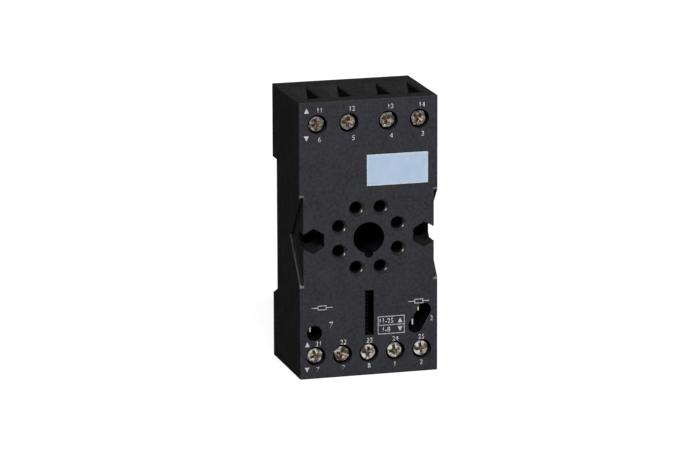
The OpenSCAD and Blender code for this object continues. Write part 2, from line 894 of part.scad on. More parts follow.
housing();
base_plate();
label_plate();
din_latch();
latch_spring();
contact_strip(1);  // contact_strip_1
contact_strip(2);  // contact_strip_2
contact_strip(3);  // contact_strip_3
contact_strip(4);  // contact_strip_4
contact_strip(5);  // contact_strip_5
contact_strip(6);  // contact_strip_6
contact_strip(7);  // contact_strip_7
contact_strip(8);  // contact_strip_8
terminal_screw(1);  // terminal_screw_1
terminal_screw(2);  // terminal_screw_2
terminal_screw(3);  // terminal_screw_3
terminal_screw(4);  // terminal_screw_4
terminal_screw(5);  // terminal_screw_5
terminal_screw(6);  // terminal_screw_6
terminal_screw(7);  // terminal_screw_7
terminal_screw(8);  // terminal_screw_8
terminal_screw(9);  // terminal_screw_9
clamp_cage(1);  // clamp_cage_1
clamp_cage(2);  // clamp_cage_2
clamp_cage(3);  // clamp_cage_3
clamp_cage(4);  // clamp_cage_4
clamp_cage(5);  // clamp_cage_5
clamp_cage(6);  // clamp_cage_6
clamp_cage(7);  // clamp_cage_7
clamp_cage(8);  // clamp_cage_8
clamp_cage(9);  // clamp_cage_9
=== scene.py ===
"""Looks of the relay socket: plastics, metals, printed marks, screw heads and studio light."""

import math

import bmesh
import bpy
from mathutils import Matrix, Vector


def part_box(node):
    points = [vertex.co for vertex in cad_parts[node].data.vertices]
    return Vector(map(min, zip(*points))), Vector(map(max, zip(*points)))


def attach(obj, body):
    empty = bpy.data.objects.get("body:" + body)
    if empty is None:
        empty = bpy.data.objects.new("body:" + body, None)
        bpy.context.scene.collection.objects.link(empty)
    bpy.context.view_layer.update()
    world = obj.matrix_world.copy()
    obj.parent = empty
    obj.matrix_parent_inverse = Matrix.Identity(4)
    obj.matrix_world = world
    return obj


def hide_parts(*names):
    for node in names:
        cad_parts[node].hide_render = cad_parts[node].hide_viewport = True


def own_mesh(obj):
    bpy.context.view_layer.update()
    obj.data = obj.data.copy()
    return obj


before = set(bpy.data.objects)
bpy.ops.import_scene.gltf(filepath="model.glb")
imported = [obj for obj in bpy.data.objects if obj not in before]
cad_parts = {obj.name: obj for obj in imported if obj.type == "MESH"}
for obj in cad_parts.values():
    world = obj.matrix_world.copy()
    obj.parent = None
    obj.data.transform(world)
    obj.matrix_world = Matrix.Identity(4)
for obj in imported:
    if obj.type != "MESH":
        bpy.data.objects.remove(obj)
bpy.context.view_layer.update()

MM = 0.001

# ---- Sizes, in millimetres, read from the frame or shared with the part ----

SCREWS = [f"terminal_screw_{i}" for i in range(1, 10)]
CAGES = [f"clamp_cage_{i}" for i in range(1, 10)]
STRIPS = [f"contact_strip_{i}" for i in range(1, 9)]

PIN_COUNT = 8
PIN_CIRCLE_R = 17.45 / 2
PIN_MOUTH_R = 4.25 / 2
PIN_MOUTH_DEPTH = 1.5
# How far each screw is turned, in degrees.
SCREW_ANGLE = [-17, 99, 118, 127, -19, 17, 97, 78, 80]
UPPER_SCREWS = 4


def box_mm(node):
    """A node's lowest and highest corners in millimetres."""
    low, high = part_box(node)
    return [v / MM for v in low], [v / MM for v in high]


_, FRONT_Y, FOOT_Z = box_mm("housing")[0]

# ---- Node helpers ----


def new_material(name):
    """A material with nodes; returns it with its tree and its shader."""
    material = bpy.data.materials.new(name)
    material.use_nodes = True
    return material, material.node_tree, material.node_tree.nodes["Principled BSDF"]


def node(tree, kind, **settings):
    made = tree.nodes.new(kind)
    for key, value in settings.items():
        setattr(made, key, value)
    return made


def link(tree, out, into):
    tree.links.new(out, into)


def feed(tree, value, socket):
    """Sets a socket to a number or colour, or links another socket to it."""
    if isinstance(value, tuple):
        socket.default_value = (*value, 1)
    elif isinstance(value, (int, float)):
        socket.default_value = value
    else:
        link(tree, value, socket)


def math_node(tree, operation, a, b=None, clamp=False):
    """A maths node; a and b are sockets or numbers. Returns its output socket."""
    made = node(tree, "ShaderNodeMath", operation=operation, use_clamp=clamp)
    feed(tree, a, made.inputs[0])
    if b is not None:
        feed(tree, b, made.inputs[1])
    return made.outputs[0]


def times(tree, a, b):
    return math_node(tree, "MULTIPLY", a, b)


def minus(tree, a, b):
    return math_node(tree, "SUBTRACT", a, b)


def distance_2d(tree, a, b):
    """The length of a vector of two parts."""
    return math_node(tree, "SQRT", math_node(tree, "ADD", times(tree, a, a), times(tree, b, b)))


def between(tree, value, low, high):
    """1 where the value lies between two numbers, else 0."""
    above = math_node(tree, "GREATER_THAN", value, low)
    return times(tree, above, math_node(tree, "LESS_THAN", value, high))


def position_mm(tree):
    """The point's place in millimetres in the part's frame, as a vector and as X, Y and Z."""
    coords = node(tree, "ShaderNodeTexCoord")
    scale = node(tree, "ShaderNodeVectorMath", operation="SCALE")
    scale.inputs["Scale"].default_value = 1 / MM
    link(tree, coords.outputs["Object"], scale.inputs[0])
    parts = node(tree, "ShaderNodeSeparateXYZ")
    link(tree, scale.outputs[0], parts.inputs[0])
    return scale.outputs[0], dict(zip("XYZ", parts.outputs))


def noise(tree, vector, scale, detail=2.0, roughness=0.5):
    made = node(tree, "ShaderNodeTexNoise")
    made.inputs["Scale"].default_value = scale
    made.inputs["Detail"].default_value = detail
    made.inputs["Roughness"].default_value = roughness
    link(tree, vector, made.inputs["Vector"])
    return made.outputs["Fac"]


# The values of a noise lie mostly between these.
NOISE_SPAN = (0.3, 0.7)


def remap(tree, value, low, high, to_low=0.0, to_high=1.0):
    made = node(tree, "ShaderNodeMapRange")
    made.inputs["From Min"].default_value = low
    made.inputs["From Max"].default_value = high
    made.inputs["To Min"].default_value = to_low
    made.inputs["To Max"].default_value = to_high
    link(tree, value, made.inputs["Value"])
    return made.outputs["Result"]


# A mix node has sockets for every kind of data: here, the first input and the output of each.
MIX_SOCKETS = {"FLOAT": (2, 0), "VECTOR": (4, 1), "RGBA": (6, 2)}


def mix(tree, kind, factor, first, second, **settings):
    """Mixes two sockets, colours or numbers by a socket or number."""
    made = node(tree, "ShaderNodeMix", data_type=kind, **settings)
    into, out = MIX_SOCKETS[kind]
    for i, value in ((0, factor), (into, first), (into + 1, second)):
        feed(tree, value, made.inputs[i])
    return made.outputs[out]


def mix_colours(tree, factor, first, second, blend="MIX"):
    return mix(tree, "RGBA", factor, first, second, blend_type=blend)


def mix_values(tree, factor, first, second):
    return mix(tree, "FLOAT", factor, first, second)


def mix_normals(tree, factor, first, second):
    return mix(tree, "VECTOR", factor, first, second)


def faded(tree, colour, mask, share):
    """A colour darkened by a share where the mask is 1."""
    return mix_colours(tree, times(tree, mask, share), colour, (0, 0, 0))


def bump(tree, height, distance, strength=1.0, normal=None):
    """A bump of the given depth in millimetres; returns its normal."""
    made = node(tree, "ShaderNodeBump")
    made.inputs["Strength"].default_value = strength
    made.inputs["Distance"].default_value = distance * MM
    link(tree, height, made.inputs["Height"])
    if normal is not None:
        link(tree, normal, made.inputs["Normal"])
    return made.outputs["Normal"]


def soft_edges(tree, radius):
    """The normal of a surface whose edges are rounded by a radius in millimetres."""
    made = node(tree, "ShaderNodeBevel", samples=6)
    made.inputs["Radius"].default_value = radius * MM
    return made.outputs["Normal"]


# ---- Materials ----

# Places on the plastic, as ranges of the sizes of X, Y and Z in millimetres, on either side of 0.
# A range from below 0 starts at the middle.
MIDDLE = -1
END_FACES = {"Z": (37.44, 40)}
WIRE_ENTRIES = {"X": (MIDDLE, 18.7), "Y": (0.3, 27.1), "Z": (34.6, 40)}
INSIDE = {"X": (MIDDLE, 17.9), "Y": (FRONT_Y + 0.06, 22), "Z": (MIDDLE, 34.6)}
NUT_POCKETS = {"X": (12, 18.5), "Y": (FRONT_Y, 5.3), "Z": (MIDDLE, 3.7)}
SCREW_WELLS = {"X": (MIDDLE, 18), "Y": (FRONT_Y, 2.2), "Z": (28, 34.6)}
NOTCH_CORNERS = {"X": (17.8, 19.1), "Y": (MIDDLE, 0.5), "Z": (11.8, 12.5)}
NOTCH_GROOVES = {"X": (18.0, 18.5), "Y": (0.1, 10.5), "Z": (MIDDLE, 12.6)}
FRONT_SKIN = 0.3

# The plastic's grain, as factors of its colour: its dark and light specks, and lighter edges,
# partly edge wear and partly painted highlight.
GRAIN_DARK = (0.62, 0.61, 0.58)
GRAIN_LIGHT = (1.40, 1.41, 1.46)
EDGE_WEAR_AND_HIGHLIGHT = 1.5
MIDDLE_GRAIN, BROAD_GRAIN = 0.6, 0.25
# The cosines of a rounded normal's lean at which an edge starts and is full.
EDGE_LEAN = (0.97, 0.75)
PLASTIC_SPECULAR = 0.0

# How its tone differs in those places, all painted light and shade: painted shade in the holes
# (less in the nut pockets and screw wells), on the end faces, in the notch grooves and in the pin
# mouths; a painted tone on the faces behind the front; a painted highlight at the notch corners.
PAINTED_HOLE_SHADE = 0.14
POCKET_LIT = 0.3
WELL_LIT = 0.35
END_SHADE = 0.5
GROOVE_SHADE = 0.7
MOUTH_SHADE = 0.75
PAINTED_SIDE_TONE = (1.1, 1.1, 0.93)
NOTCH_GLINT_COLOUR = (0.2, 0.2, 0.21)
NOTCH_GLINT_SHARE = 0.8

# The dish of a pin mouth: how far it leans at its bottom and at its rim, its width, its gloss,
# and how far its mask reaches past the countersink and starts behind the front.
MOUTH_LEAN = (math.radians(48), math.radians(12))
MOUTH_DISH = 0.55
MOUTH_ROUGH = 0.27
MOUTH_IOR = 1.25
MOUTH_MARGIN = 0.05
MOUTH_START = 0.02


def pin_mouths(tree, xyz):
    """A mask of the countersinks of the eight pin holes, and the normal of a dished one.

    The ring is folded onto one pin hole: along and aside are the distances from its middle.
    """
    step = 2 * math.pi / PIN_COUNT
    angle = math_node(tree, "ARCTAN2", xyz["Z"], xyz["X"])
    radius = distance_2d(tree, xyz["X"], xyz["Z"])
    folded = minus(tree, math_node(tree, "FLOORED_MODULO", angle, step), step / 2)
    along = minus(tree, times(tree, radius, math_node(tree, "COSINE", folded)), PIN_CIRCLE_R)
    aside = times(tree, radius, math_node(tree, "SINE", folded))
    distance = distance_2d(tree, along, aside)
    walls = times(
        tree, math_node(tree, "LESS_THAN", distance, PIN_MOUTH_R + MOUTH_MARGIN),
        between(tree, xyz["Y"], FRONT_Y + MOUTH_START, FRONT_Y + PIN_MOUTH_DEPTH))
    turn = minus(tree, angle, minus(tree, folded, math_node(tree, "ARCTAN2", aside, along)))
    lean = remap(tree, distance, PIN_MOUTH_R - MOUTH_DISH, PIN_MOUTH_R, *MOUTH_LEAN)
    spread = times(tree, math_node(tree, "SINE", lean), -1.0)
    parts = node(tree, "ShaderNodeCombineXYZ")
    link(tree, times(tree, spread, math_node(tree, "COSINE", turn)), parts.inputs["X"])
    link(tree, times(tree, math_node(tree, "COSINE", lean), -1.0), parts.inputs["Y"])
    link(tree, times(tree, spread, math_node(tree, "SINE", turn)), parts.inputs["Z"])
    turned = node(
        tree, "ShaderNodeVectorTransform",
        vector_type="NORMAL", convert_from="OBJECT", convert_to="WORLD")
    link(tree, parts.outputs["Vector"], turned.inputs[0])
    return walls, turned.outputs[0]


def zone(tree, xyz, ranges):
    """1 in one of the places above, else 0."""
    product = 1.0
    for axis, (low, high) in ranges.items():
        size = math_node(tree, "ABSOLUTE", xyz[axis])
        product = times(tree, product, between(tree, size, low, high))
    return product


def less(tree, mask, other, share=1.0):
    """A mask without a share of another."""
    return times(tree, mask, minus(tree, 1.0, times(tree, other, share)))


def painted_shade_inside(tree, xyz, mouth_walls):
    """Where the painted shade goes: up to 1 on the inner walls of the front's holes and
    chambers, 0 on the outer faces.
    """
    inside = less(tree, zone(tree, xyz, INSIDE), mouth_walls)
    inside = less(tree, inside, zone(tree, xyz, NUT_POCKETS), POCKET_LIT)
    return less(tree, inside, zone(tree, xyz, SCREW_WELLS), WELL_LIT)


def edge_mask(tree, rounded):
    """0 on open faces and up to 1 on edges, from how far the rounded normal leans."""
    geometry = node(tree, "ShaderNodeNewGeometry")
    dot = node(tree, "ShaderNodeVectorMath", operation="DOT_PRODUCT")
    link(tree, rounded, dot.inputs[0])
    link(tree, geometry.outputs["Normal"], dot.inputs[1])
    return remap(tree, dot.outputs["Value"], *EDGE_LEAN)


def scaled(colour, *factors):
    """A colour times one factor, or times a factor for each channel."""
    if len(factors) == 1:
        factors *= 3
    return tuple(c * f for c, f in zip(colour, factors))


def moulded_plastic(name, colour, rough, grain=0.02, holes=False, front=False):
    """Dark moulded plastic: spark-eroded grain, slight flow marks and lighter edges.

    The lighter edges are partly edge wear and partly painted highlight. The faces behind the
    front get a painted tone for how light falls on them, and the end faces and wire entries
    painted shade. With holes, the walls inside them get painted shade. With front, it also has
    the glossy pin mouths, with painted shade on their walls, painted shade in the notch grooves
    and a painted highlight at the notch corners.
    """
    material, tree, shader = new_material(name)
    point, xyz = position_mm(tree)
    fine = noise(tree, point, scale=3.4, detail=3.0, roughness=0.65)
    middle = noise(tree, point, scale=1.1)
    broad = noise(tree, point, scale=0.16)
    tone = mix_values(tree, MIDDLE_GRAIN, fine, middle)
    tone = mix_values(tree, BROAD_GRAIN, tone, broad)
    darker, lighter = scaled(colour, *GRAIN_DARK), scaled(colour, *GRAIN_LIGHT)
    painted = mix_colours(tree, remap(tree, tone, *NOISE_SPAN), darker, lighter)
    # Painted light and shade: the faces behind the front skin (sides, top, back) are tinted
    # lighter in red and green and darker in blue, for how light falls on them.
    behind = math_node(tree, "GREATER_THAN", xyz["Y"], FRONT_Y + FRONT_SKIN)
    painted = mix_colours(tree, behind, painted, PAINTED_SIDE_TONE, blend="MULTIPLY")
    normal = soft_edges(tree, 0.14)
    # Lighter edges: partly edge wear, partly painted highlight.
    worn_and_lit_edges = times(tree, edge_mask(tree, normal), remap(tree, fine, 0.35, 0.6, 0.3, 1.0))
    painted = mix_colours(tree, worn_and_lit_edges, painted, scaled(colour, EDGE_WEAR_AND_HIGHLIGHT))
    # Painted shade: the end faces and the wire entries are darkened.
    ends = math_node(
        tree, "MAXIMUM", zone(tree, xyz, END_FACES), zone(tree, xyz, WIRE_ENTRIES))
    painted = faded(tree, painted, ends, END_SHADE)
    if holes:
        walls, dished = pin_mouths(tree, xyz)
        # Painted shade: the walls inside the holes and chambers are darkened to near black.
        hole_shade = painted_shade_inside(tree, xyz, walls)
        painted = mix_colours(tree, hole_shade, painted, scaled(colour, PAINTED_HOLE_SHADE))
    if holes and front:
        # Painted shade on the walls of the pin mouths.
        painted = faded(tree, painted, walls, MOUTH_SHADE)
        normal = mix_normals(tree, walls, normal, dished)
        link(tree, walls, shader.inputs["Coat Weight"])
        link(tree, normal, shader.inputs["Coat Normal"])
        shader.inputs["Coat Roughness"].default_value = MOUTH_ROUGH
        shader.inputs["Coat IOR"].default_value = MOUTH_IOR
        # Painted highlight: small bright patches at the ends of the side notches, on the front
        # edge.
        corners = times(tree, zone(tree, xyz, NOTCH_CORNERS), NOTCH_GLINT_SHARE)
        painted = mix_colours(tree, corners, painted, NOTCH_GLINT_COLOUR)
        # Painted shade in the inner half of the side notches' walls.
        painted = faded(tree, painted, zone(tree, xyz, NOTCH_GROOVES), GROOVE_SHADE)
    link(tree, painted, shader.inputs["Base Color"])
    surface = remap(tree, fine, *NOISE_SPAN, rough - 0.06, rough + 0.08)
    link(tree, surface, shader.inputs["Roughness"])
    link(tree, bump(tree, fine, grain, 0.7, normal), shader.inputs["Normal"])
    shader.inputs["Specular IOR Level"].default_value = PLASTIC_SPECULAR
    return material


def metal_finish(tree, shader, point, painted, rough, relief, edge):
    """Links a metal's colour, brushing and worn edges."""
    fine = noise(tree, point, scale=6.0, detail=4.0, roughness=0.65)
    link(tree, painted, shader.inputs["Base Color"])
    link(tree, remap(tree, fine, *NOISE_SPAN, *rough), shader.inputs["Roughness"])
    link(tree, bump(tree, fine, relief, 0.5, soft_edges(tree, edge)), shader.inputs["Normal"])
    shader.inputs["Metallic"].default_value = 1.0


def plated_metal(
        name, colour, rough, stain=None, stained=0.6, patch=0.9, span=(0.42, 0.72),
        relief=0.012, edge=0.06):
    """Plated sheet or wire: fine brushing, smudges or stains, and slightly worn edges.

    Patch is the scale of the stains, and span the part of the noise in which they grow.
    """
    material, tree, shader = new_material(name)
    point, _ = position_mm(tree)
    smudge = remap(tree, noise(tree, point, patch), *span, 0.0, stained)
    painted = mix_colours(tree, smudge, colour, stain or scaled(colour, 0.72))
    metal_finish(tree, shader, point, painted, (rough - 0.08, rough + 0.1), relief, edge)
    return material


# The strips' sleeves lie within the first of these distances from the ring's axis, in
# millimetres, and their blades beyond the second.
SLEEVES_END, BLADES_START = 11.2, 12.4


def contact_brass():
    """Tinned brass, bright on the blades and near black in the ring's sleeves: painted shade
    deep in the pin holes.
    """
    material, tree, shader = new_material("contact_brass")
    point, xyz = position_mm(tree)
    smudge = noise(tree, point, scale=0.9)
    worn = remap(tree, smudge, 0.42, 0.72, 0.0, 0.5)
    bright = mix_colours(tree, worn, (0.52, 0.50, 0.46), (0.24, 0.22, 0.19))
    # Painted shade: the sleeves, deep in the pin holes, are near black.
    sleeve_shade = mix_colours(tree, smudge, (0.003, 0.0028, 0.0025), (0.006, 0.0055, 0.005))
    radius = distance_2d(tree, xyz["X"], xyz["Z"])
    outer = remap(tree, radius, SLEEVES_END, BLADES_START)
    painted = mix_colours(tree, outer, sleeve_shade, bright)
    metal_finish(tree, shader, point, painted, (0.26, 0.42), relief=0.012, edge=0.06)
    return material


# The label's rim is paler: fully up to the first distance from its edge, in millimetres, and
# no more from the second.
LABEL_RIM = (0.58, 0.63, 0.67)
LABEL_RIM_SHARE = 0.65
LABEL_RIM_REACH = (0.12, 0.5)


def label_plastic():
    """Pale blue plastic, faintly clouded, with finely matt faces and a paler rim."""
    material, tree, shader = new_material("label_plastic")
    point, xyz = position_mm(tree)
    cloud = remap(tree, noise(tree, point, scale=0.35, detail=3.0), *NOISE_SPAN)
    fine = noise(tree, point, scale=7.0)
    body = mix_colours(tree, cloud, (0.378, 0.488, 0.638), (0.43, 0.54, 0.685))
    low, high = box_mm("label_plate")
    nearest = minus(tree, xyz["X"], low[0])
    for gap in (
            minus(tree, high[0], xyz["X"]),
            minus(tree, xyz["Z"], low[2]),
            minus(tree, high[2], xyz["Z"])):
        nearest = math_node(tree, "MINIMUM", nearest, gap)
    rim = remap(tree, nearest, *LABEL_RIM_REACH, LABEL_RIM_SHARE, 0.0)
    link(tree, mix_colours(tree, rim, body, LABEL_RIM), shader.inputs["Base Color"])
    link(tree, remap(tree, fine, *NOISE_SPAN, 0.48, 0.58), shader.inputs["Roughness"])
    link(tree, bump(tree, fine, 0.008, 0.4, soft_edges(tree, 0.08)), shader.inputs["Normal"])
    shader.inputs["Specular IOR Level"].default_value = 0.15
    return material


def print_ink():
    """Pale grey pad print, a little thin in places."""
    material, tree, shader = new_material("print_ink")
    point, _ = position_mm(tree)
    patchy = noise(tree, point, scale=3.2, detail=3.0, roughness=0.7)
    cover = remap(tree, patchy, 0.35, 0.62)
    painted = mix_colours(tree, cover, (0.36, 0.36, 0.38), (0.62, 0.62, 0.64))
    link(tree, painted, shader.inputs["Base Color"])
    link(tree, remap(tree, patchy, *NOISE_SPAN, 0.55, 0.7), shader.inputs["Roughness"])
    link(tree, bump(tree, patchy, 0.01, 0.5), shader.inputs["Normal"])
    shader.inputs["Specular IOR Level"].default_value = 0.1
    return material


HOUSING = moulded_plastic(
    "housing_plastic", (0.0346, 0.0347, 0.0408), 0.6, holes=True, front=True)
BASE = moulded_plastic("base_plastic", (0.027, 0.027, 0.031), 0.6, holes=True)
LATCH = moulded_plastic("latch_plastic", (0.018, 0.018, 0.019), 0.5, grain=0.012)
LABEL = label_plastic()
BRASS = contact_brass()
# Painted shade: the upper row's screws are a darker copy of the lower ones' nickel, with stains
# as the lower ones have.
UPPER_SCREW_SHADED = plated_metal(
    "screw_nickel_upper_shaded", (0.27, 0.255, 0.225), 0.36, stain=(0.045, 0.038, 0.03),
    stained=1.0, patch=1.1, span=(0.38, 0.62), relief=0.02)
LOWER_SCREW = plated_metal(
    "screw_nickel", (0.58, 0.56, 0.52), 0.34, stain=(0.06, 0.052, 0.042),
    stained=1.0, patch=0.7, span=(0.4, 0.6), relief=0.02)
RECESS = plated_metal(
    "screw_recess", (0.16, 0.115, 0.085), 0.6, stain=(0.05, 0.035, 0.026),
    stained=0.9, patch=1.2)
CAGE = plated_metal("cage_steel", (0.62, 0.6, 0.55), 0.36)
SPRING = plated_metal("spring_steel", (0.55, 0.55, 0.56), 0.25, edge=0.02)
INK = print_ink()


def dress(name, material):
    """Gives a CAD node its material, on every slot that it has."""
    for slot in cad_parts[name].material_slots:
        slot.material = material


dress("housing", HOUSING)
dress("base_plate", BASE)
dress("din_latch", LATCH)
dress("label_plate", LABEL)
for name in STRIPS:
    dress(name, BRASS)
for name in CAGES:
    dress(name, CAGE)

# ---- Mesh helpers ----


def add_piece(name, mesh, materials):
    """A mesh object at the frame's origin; the mesh is in metres."""
    for material in materials:
        mesh.materials.append(material)
    piece = bpy.data.objects.new(name, mesh)
    bpy.context.scene.collection.objects.link(piece)
    return piece


def mesh_from_mm(name, points, faces):
    mesh = bpy.data.meshes.new(name)
    mesh.from_pydata([Vector(p) * MM for p in points], [], faces)
    mesh.validate()
    mesh.update()
    return mesh


def tube_faces(rings, sides):
    """Faces of a capped tube of rings of points, each ring with the same number of sides."""
    faces = []
    for first in range(0, (rings - 1) * sides, sides):
        for k in range(sides):
            after = (k + 1) % sides
            faces.append((first + k, first + after, first + sides + after, first + sides + k))
    faces.append(tuple(range(sides - 1, -1, -1)))
    faces.append(tuple(range((rings - 1) * sides, rings * sides)))
    return faces


def smooth_between(mesh, degrees):
    """Smooth shading, apart from edges sharper than the given angle."""
    mesh.shade_smooth()
    mesh.set_sharp_from_angle(angle=math.radians(degrees))


# ---- Terminal screws: domed heads with a cross and a slot, and a cut thread ----

HEAD_R = 4.3 / 2
HEAD_FRONT = 0.9
HEAD_SEAT = 2.5
HEAD_DOME = 0.16
RIM_ROUND = 0.3
SEAT_BEVEL = 0.06
THREAD_R = 1.5
THREAD_CUT = 0.27
CORE_R = THREAD_R - THREAD_CUT
THREAD_PITCH = 0.5
THREAD_START = 2.9
THREAD_END = 9.0
SCREW_TIP = 9.4
CROSS_W = 0.85
CROSS_L = 3.2
CROSS_DEPTH = 1.0
SLOT_W = 0.55
SLOT_DEPTH = 0.42
LATHE_SIDES = 48
HEAD_STEPS = 5
RINGS_PER_TURN = 6

# The cross narrows inwards: depth, width and length at each level, as shares of the whole.
CROSS_LEVELS = [(-0.1, 1, 1), (0.35, 0.92, 0.9), (0.85, 0.7, 0.5), (1.1, 0.3, 0.15)]

# How far the slot's cutter reaches past the head, in front of it and beyond its rim.
CUT_OVER, SLOT_OVER = 0.1, 0.5

# A wall of the recess lies from this far below the dome to this depth.
RECESS_MARGIN = 0.06
RECESS_END = HEAD_SEAT - 0.1

# The thread's ridge is a slope cut off at 0 and 1: its height in the middle and its fall.
RIDGE_PEAK, RIDGE_FALL = 1.6, 4.4


def dome_y(r):
    """Depth of the domed head's surface at a distance from its middle."""
    return HEAD_FRONT + HEAD_DOME * (r / HEAD_R) ** 2


def head_profile():
    """Radius and depth along the head, from its middle over the rounded rim to its seat."""
    flat_r = HEAD_R - RIM_ROUND
    steps = range(1, HEAD_STEPS + 1)
    profile = [(flat_r * i / HEAD_STEPS, dome_y(flat_r * i / HEAD_STEPS)) for i in steps]
    rim_y = profile[-1][1] + RIM_ROUND
    for i in steps:
        turn = math.radians(90 * i / HEAD_STEPS)
        profile.append((flat_r + RIM_ROUND * math.sin(turn), rim_y - RIM_ROUND * math.cos(turn)))
    return profile + [
        (HEAD_R, HEAD_SEAT - SEAT_BEVEL), (HEAD_R - SEAT_BEVEL, HEAD_SEAT),
        (CORE_R + 0.1, HEAD_SEAT)]


def thread_radius(y, turn):
    """Radius of the thread's surface at a depth and an angle, running out at both ends."""
    share = (y / THREAD_PITCH - turn / (2 * math.pi)) % 1
    ridge = min(1, max(0, RIDGE_PEAK - RIDGE_FALL * abs(share - 0.5)))
    start, end = (y - THREAD_START) / THREAD_PITCH, (THREAD_END - y) / THREAD_PITCH
    ramp = min(1, max(0, start), max(0, end))
    return CORE_R + THREAD_CUT * ridge * ramp


def screw_blank():
    """The screw before its recess is cut, with its axis on Y."""
    turns = [2 * math.pi * k / LATHE_SIDES for k in range(LATHE_SIDES)]
    points = []

    def ring(y, radius_at):
        points.extend((radius_at(t) * math.cos(t), y, radius_at(t) * math.sin(t)) for t in turns)

    for r, y in head_profile():
        ring(y, lambda t: r)
    steps = round((THREAD_END - THREAD_START) / THREAD_PITCH * RINGS_PER_TURN)
    for i in range(steps + 1):
        y = THREAD_START + (THREAD_END - THREAD_START) * i / steps
        ring(y, lambda t: thread_radius(y, t))
    for r, y in ((CORE_R, THREAD_END + 0.05), (CORE_R - 0.3, SCREW_TIP)):
        ring(y, lambda t: r)
    faces = tube_faces(len(points) // LATHE_SIDES, LATHE_SIDES)
    return mesh_from_mm("screw_blank", points, faces)


def plus_outline(width, length):
    """The twelve corners of a plus shape."""
    w, l = width / 2, length / 2
    arm = [(l, -w), (l, w), (w, w)]
    corners = []
    for k in range(4):
        c, s = round(math.cos(k * math.pi / 2)), round(math.sin(k * math.pi / 2))
        corners += [(x * c - z * s, x * s + z * c) for x, z in arm]
    return corners


def recess_cutters():
    """The tapered cross and the slot that are cut from the head."""
    points = []
    for depth, width, length in CROSS_LEVELS:
        y = HEAD_FRONT + CROSS_DEPTH * depth
        outline = plus_outline(CROSS_W * width, CROSS_L * length)
        points += [(x, y, z) for x, z in outline]
    cross = mesh_from_mm("cross", points, tube_faces(len(CROSS_LEVELS), len(outline)))
    half = HEAD_R + SLOT_OVER
    box = []
    for y in (HEAD_FRONT - CUT_OVER, HEAD_FRONT + SLOT_DEPTH):
        box += [
            (-half, y, -SLOT_W / 2), (half, y, -SLOT_W / 2),
            (half, y, SLOT_W / 2), (-half, y, SLOT_W / 2)]
    slot = mesh_from_mm("slot", box, tube_faces(2, 4))
    return cross, slot


def outward(mesh):
    """Turns every face of a closed mesh to face outwards."""
    made = bmesh.new()
    made.from_mesh(mesh)
    bmesh.ops.recalc_face_normals(made, faces=made.faces)
    made.to_mesh(mesh)
    made.free()


def scratch_object(name, data):
    """An object in the scene that is only needed for a moment."""
    made = bpy.data.objects.new(name, data)
    bpy.context.scene.collection.objects.link(made)
    return made


def final_mesh(used):
    """A new mesh of what an object looks like with its modifiers or text."""
    bpy.context.view_layer.update()
    graph = bpy.context.evaluated_depsgraph_get()
    return bpy.data.meshes.new_from_object(used.evaluated_get(graph))


def cut_recess(blank):
    """The blank with its recess cut, as a new mesh."""
    outward(blank)
    work = scratch_object("screw_work", blank)
    tools = []
    for mesh in recess_cutters():
        outward(mesh)
        tool = scratch_object("screw_tool", mesh)
        cut = work.modifiers.new("cut", "BOOLEAN")
        cut.operation = "DIFFERENCE"
        cut.solver = "EXACT"
        cut.object = tool
        tools.append(tool)
    result = final_mesh(work)
    for used in tools + [work]:
        bpy.data.objects.remove(used)
    return result


def in_recess(centre):
    """Whether a face of the screw, by its middle in millimetres, is a wall of the recess."""
    r = math.hypot(centre.x, centre.z)
    below_dome = centre.y > dome_y(r) + RECESS_MARGIN
    return below_dome and centre.y < RECESS_END and r < CROSS_L / 2 + RECESS_MARGIN


def make_screws():
    cut = cut_recess(screw_blank())
    for i, (node_name, angle) in enumerate(zip(SCREWS, SCREW_ANGLE), 1):
        low, high = box_mm(node_name)
        axis = Vector(((low[0] + high[0]) / 2, 0, (low[2] + high[2]) / 2)) * MM
        mesh = cut.copy()
        for face in mesh.polygons:
            face.material_index = int(in_recess(face.center / MM))
        turn = Matrix.Rotation(math.radians(angle), 4, "Y")
        mesh.transform(Matrix.Translation(axis) @ turn)
        smooth_between(mesh, 32)
        # The upper row gets the darker copy of the plating: painted shade.
        plating = UPPER_SCREW_SHADED if i <= UPPER_SCREWS else LOWER_SCREW
        piece = add_piece(f"screw_{i}_detail", mesh, [plating, RECESS])
        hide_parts(node_name)
        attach(piece, f"screw_{i}")


make_screws()

# ---- Latch spring: a wound coil ----

SPRING_TURNS = 6
SPRING_WIRE_R = 0.35 / 2
WIRE_SIDES = 12
STEPS_PER_TURN = 40


def make_spring():
    low, high = box_mm("latch_spring")
    middle_y = (low[1] + high[1]) / 2
    coil_r = (high[0] - low[0]) / 2 - SPRING_WIRE_R
    length = high[2] - low[2]
    rings = SPRING_TURNS * STEPS_PER_TURN + 1
    points = []
    for i in range(rings):
        share = i / (rings - 1)
        a = 2 * math.pi * SPRING_TURNS * share
        z = low[2] + SPRING_WIRE_R + share * (length - 2 * SPRING_WIRE_R)
        for k in range(WIRE_SIDES):
            b = 2 * math.pi * k / WIRE_SIDES
            out = coil_r + SPRING_WIRE_R * math.cos(b)
            y = middle_y + out * math.sin(a)
            points.append((out * math.cos(a), y, z + SPRING_WIRE_R * math.sin(b)))
    mesh = mesh_from_mm("latch_spring_coil", points, tube_faces(rings, WIRE_SIDES))
    outward(mesh)
    smooth_between(mesh, 50)
    piece = add_piece("latch_spring_coil", mesh, [SPRING])
    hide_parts("latch_spring")
    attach(piece, "socket")
    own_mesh(piece)


make_spring()

# ---- Printed marks: plain numbers, triangles and line symbols ----

